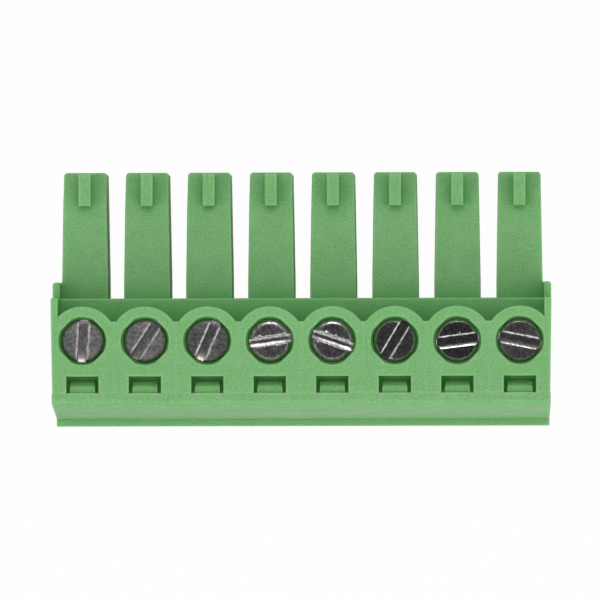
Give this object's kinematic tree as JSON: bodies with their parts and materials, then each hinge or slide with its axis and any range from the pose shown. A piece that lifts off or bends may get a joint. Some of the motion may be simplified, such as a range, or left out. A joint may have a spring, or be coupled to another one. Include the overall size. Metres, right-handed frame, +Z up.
{
  "type": "screw terminal block",
  "caption": "Pluggable screw terminal block: green housing with a comb of sprung socket fingers, slotted clamp screws that lift wire cages, and a rear cover with wire entries.",
  "frame": {"origin": "centre of the overall box at the underside", "axes": "+X along the row of poles, +Y to the nose that plugs into the header, +Z up to the screw heads"},
  "size_m": [0.0306, 0.0156, 0.0111],
  "materials": {
    "green_polyamide": "moulded green polyamide, fine satin texture",
    "plated_steel": "bright zinc plate, slightly dull",
    "plated_brass": "nickel-plated brass strip",
    "tinned_bronze": "tin-plated bronze strip"
  },
  "bodies": {
    "housing": {"housing": "green_polyamide", "rear_cover": "green_polyamide", "contact_1": "tinned_bronze", "contact_2": "tinned_bronze", "contact_3": "tinned_bronze", "contact_4": "tinned_bronze", "contact_5": "tinned_bronze", "contact_6": "tinned_bronze", "contact_7": "tinned_bronze", "contact_8": "tinned_bronze"},
    "screw_1": {"screw_1": "plated_steel"},
    "screw_2": {"screw_2": "plated_steel"},
    "screw_3": {"screw_3": "plated_steel"},
    "screw_4": {"screw_4": "plated_steel"},
    "screw_5": {"screw_5": "plated_steel"},
    "screw_6": {"screw_6": "plated_steel"},
    "screw_7": {"screw_7": "plated_steel"},
    "screw_8": {"screw_8": "plated_steel"},
    "clamp_cage_1": {"clamp_cage_1": "plated_brass"},
    "clamp_cage_2": {"clamp_cage_2": "plated_brass"},
    "clamp_cage_3": {"clamp_cage_3": "plated_brass"},
    "clamp_cage_4": {"clamp_cage_4": "plated_brass"},
    "clamp_cage_5": {"clamp_cage_5": "plated_brass"},
    "clamp_cage_6": {"clamp_cage_6": "plated_brass"},
    "clamp_cage_7": {"clamp_cage_7": "plated_brass"},
    "clamp_cage_8": {"clamp_cage_8": "plated_brass"}
  },
  "joints": [
    {"name": "screw_1_turn", "type": "hinge", "parent": "housing", "child": "screw_1", "pos_m": [-0.01333, -0.00256, 0.00875], "axis": [0, 0, 1], "range_deg": [-1980, 0]},
    {"name": "clamp_cage_1_lift", "type": "slide", "parent": "housing", "child": "clamp_cage_1", "axis": [0, 0, 1], "range_m": [0, 0.0022]},
    {"name": "screw_2_turn", "type": "hinge", "parent": "housing", "child": "screw_2", "pos_m": [-0.00953, -0.00256, 0.00875], "axis": [0, 0, 1], "range_deg": [-1980, 0]},
    {"name": "clamp_cage_2_lift", "type": "slide", "parent": "housing", "child": "clamp_cage_2", "axis": [0, 0, 1], "range_m": [0, 0.0022]},
    {"name": "screw_3_turn", "type": "hinge", "parent": "housing", "child": "screw_3", "pos_m": [-0.00571, -0.00256, 0.00875], "axis": [0, 0, 1], "range_deg": [-1980, 0]},
    {"name": "clamp_cage_3_lift", "type": "slide", "parent": "housing", "child": "clamp_cage_3", "axis": [0, 0, 1], "range_m": [0, 0.0022]},
    {"name": "screw_4_turn", "type": "hinge", "parent": "housing", "child": "screw_4", "pos_m": [-0.00191, -0.00256, 0.00875], "axis": [0, 0, 1], "range_deg": [-1980, 0]},
    {"name": "clamp_cage_4_lift", "type": "slide", "parent": "housing", "child": "clamp_cage_4", "axis": [0, 0, 1], "range_m": [0, 0.0022]},
    {"name": "screw_5_turn", "type": "hinge", "parent": "housing", "child": "screw_5", "pos_m": [0.00191, -0.00256, 0.00875], "axis": [0, 0, 1], "range_deg": [-1980, 0]},
    {"name": "clamp_cage_5_lift", "type": "slide", "parent": "housing", "child": "clamp_cage_5", "axis": [0, 0, 1], "range_m": [0, 0.0022]},
    {"name": "screw_6_turn", "type": "hinge", "parent": "housing", "child": "screw_6", "pos_m": [0.00571, -0.00256, 0.00875], "axis": [0, 0, 1], "range_deg": [-1980, 0]},
    {"name": "clamp_cage_6_lift", "type": "slide", "parent": "housing", "child": "clamp_cage_6", "axis": [0, 0, 1], "range_m": [0, 0.0022]},
    {"name": "screw_7_turn", "type": "hinge", "parent": "housing", "child": "screw_7", "pos_m": [0.00953, -0.00256, 0.00875], "axis": [0, 0, 1], "range_deg": [-1980, 0]},
    {"name": "clamp_cage_7_lift", "type": "slide", "parent": "housing", "child": "clamp_cage_7", "axis": [0, 0, 1], "range_m": [0, 0.0022]},
    {"name": "screw_8_turn", "type": "hinge", "parent": "housing", "child": "screw_8", "pos_m": [0.01333, -0.00256, 0.00875], "axis": [0, 0, 1], "range_deg": [-1980, 0]},
    {"name": "clamp_cage_8_lift", "type": "slide", "parent": "housing", "child": "clamp_cage_8", "axis": [0, 0, 1], "range_m": [0, 0.0022]}
  ],
  "couplings": [
    {"joint": "screw_1_turn", "follows": "clamp_cage_1_lift", "rad_per_m": -15708},
    {"joint": "screw_2_turn", "follows": "clamp_cage_2_lift", "rad_per_m": -15708},
    {"joint": "screw_3_turn", "follows": "clamp_cage_3_lift", "rad_per_m": -15708},
    {"joint": "screw_4_turn", "follows": "clamp_cage_4_lift", "rad_per_m": -15708},
    {"joint": "screw_5_turn", "follows": "clamp_cage_5_lift", "rad_per_m": -15708},
    {"joint": "screw_6_turn", "follows": "clamp_cage_6_lift", "rad_per_m": -15708},
    {"joint": "screw_7_turn", "follows": "clamp_cage_7_lift", "rad_per_m": -15708},
    {"joint": "screw_8_turn", "follows": "clamp_cage_8_lift", "rad_per_m": -15708}
  ]
}
